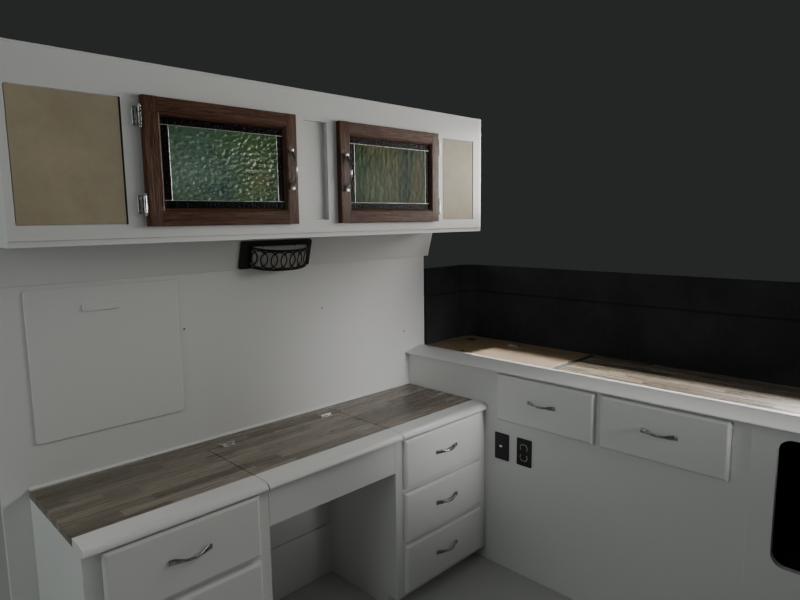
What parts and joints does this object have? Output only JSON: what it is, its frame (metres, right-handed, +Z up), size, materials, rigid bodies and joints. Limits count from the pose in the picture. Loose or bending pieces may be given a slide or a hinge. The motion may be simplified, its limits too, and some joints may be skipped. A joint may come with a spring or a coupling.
{
  "type": "motor yacht cabin furniture unit",
  "caption": "Built-in yacht cabin corner: vanity with kneehole and lift-up lid, side dresser, wall light and an overhead locker with glazed doors.",
  "frame": {"origin": "on the cabin sole, under the middle of the unit's bounding box", "axes": "+Z up, +Y aft into the bulkhead behind the vanity, +X outboard to the hull side; the vanity faces -Y and the side dresser faces -X"},
  "size_m": [2.112, 2.001, 1.88],
  "materials": {
    "white_paint": "satin paint",
    "plank_laminate": "grey-brown plank laminate, matt",
    "tan_board": "bare tan board, matt",
    "dark_oak": "dark stained oak, satin varnish",
    "stained_glass": "rippled green and amber glass with a dark border",
    "black_lining": "matt black",
    "black_plate": "black, semi-gloss",
    "chrome": "polished",
    "pewter": "worn pewter",
    "dark_bronze": "dark bronze",
    "frosted": "frosted grey",
    "mirror": "silvered"
  },
  "bodies": {
    "root": {"vanity_left_bank": "white_paint", "vanity_right_bank": "white_paint", "kneehole_back_panel": "white_paint", "kneehole_lower_panel": "white_paint", "vanity_apron_tray": "white_paint", "vanity_nosing_left": "white_paint", "vanity_nosing_right": "white_paint", "side_case": "white_paint", "side_opening_panel": "white_paint", "side_nosing": "white_paint", "bulkhead_panel": "white_paint", "upper_band": "white_paint", "access_panel": "white_paint", "locker_case": "white_paint", "vanity_top": "plank_laminate", "side_top_planks": "plank_laminate", "side_back_strip": "tan_board", "locker_insert_left": "tan_board", "locker_insert_right": "tan_board", "vanity_lid_hinge_1": "chrome", "vanity_lid_hinge_2": "chrome", "side_lid_hinge_1": "chrome", "side_lid_hinge_2": "chrome", "niche_lining": "black_lining", "side_switch_plate": "black_plate", "side_socket_plate": "black_plate", "wall_light_plate": "dark_bronze", "wall_light_lattice": "dark_bronze", "wall_light_diffuser": "frosted", "left_door_hinge_1": "chrome", "left_door_hinge_2": "chrome", "right_door_hinge_1": "chrome", "right_door_hinge_2": "chrome"},
    "vanity_left_drawer_1": {"vanity_left_drawer_1": "white_paint", "vanity_left_pull_1": "pewter"},
    "vanity_left_drawer_2": {"vanity_left_drawer_2": "white_paint", "vanity_left_pull_2": "pewter"},
    "vanity_left_drawer_3": {"vanity_left_drawer_3": "white_paint", "vanity_left_pull_3": "pewter"},
    "vanity_right_drawer_1": {"vanity_right_drawer_1": "white_paint", "vanity_right_pull_1": "pewter"},
    "vanity_right_drawer_2": {"vanity_right_drawer_2": "white_paint", "vanity_right_pull_2": "pewter"},
    "vanity_right_drawer_3": {"vanity_right_drawer_3": "white_paint", "vanity_right_pull_3": "pewter"},
    "side_drawer_1": {"side_drawer_1": "white_paint", "side_pull_1": "pewter"},
    "side_drawer_2": {"side_drawer_2": "white_paint", "side_pull_2": "pewter"},
    "vanity_lid": {"vanity_lid": "plank_laminate", "vanity_lid_nosing": "white_paint", "vanity_lid_mirror": "mirror"},
    "side_lid": {"side_lid": "tan_board"},
    "left_door": {"left_door_frame": "dark_oak", "left_door_glass": "stained_glass", "left_door_pull": "pewter"},
    "right_door": {"right_door_frame": "dark_oak", "right_door_glass": "stained_glass", "right_door_pull": "pewter"}
  },
  "joints": [
    {"name": "vanity_left_drawer_1_slide", "type": "slide", "parent": "root", "child": "vanity_left_drawer_1", "axis": [0, -1, 0], "range_m": [0, 0.33]},
    {"name": "vanity_left_drawer_2_slide", "type": "slide", "parent": "root", "child": "vanity_left_drawer_2", "axis": [0, -1, 0], "range_m": [0, 0.33]},
    {"name": "vanity_left_drawer_3_slide", "type": "slide", "parent": "root", "child": "vanity_left_drawer_3", "axis": [0, -1, 0], "range_m": [0, 0.33]},
    {"name": "vanity_right_drawer_1_slide", "type": "slide", "parent": "root", "child": "vanity_right_drawer_1", "axis": [0, -1, 0], "range_m": [0, 0.33]},
    {"name": "vanity_right_drawer_2_slide", "type": "slide", "parent": "root", "child": "vanity_right_drawer_2", "axis": [0, -1, 0], "range_m": [0, 0.33]},
    {"name": "vanity_right_drawer_3_slide", "type": "slide", "parent": "root", "child": "vanity_right_drawer_3", "axis": [0, -1, 0], "range_m": [0, 0.33]},
    {"name": "side_drawer_1_slide", "type": "slide", "parent": "root", "child": "side_drawer_1", "axis": [1, 0, 0], "range_m": [-0.33, 0]},
    {"name": "side_drawer_2_slide", "type": "slide", "parent": "root", "child": "side_drawer_2", "axis": [1, 0, 0], "range_m": [-0.33, 0]},
    {"name": "vanity_lid_hinge", "type": "hinge", "parent": "root", "child": "vanity_lid", "pos_m": [-0.184, 0.8875, 0.704], "axis": [-1, 0, 0], "range_deg": [0, 100]},
    {"name": "side_lid_hinge", "type": "hinge", "parent": "root", "child": "side_lid", "pos_m": [0.9525, 0.7555, 0.876], "axis": [0, 1, 0], "range_deg": [0, 95]},
    {"name": "left_door_hinge", "type": "hinge", "parent": "root", "child": "left_door", "pos_m": [-0.746, 0.5945, 1.63], "axis": [0, 0, -1], "range_deg": [0, 110]},
    {"name": "right_door_hinge", "type": "hinge", "parent": "root", "child": "right_door", "pos_m": [0.393, 0.5945, 1.63], "axis": [0, 0, 1], "range_deg": [0, 110]}
  ]
}
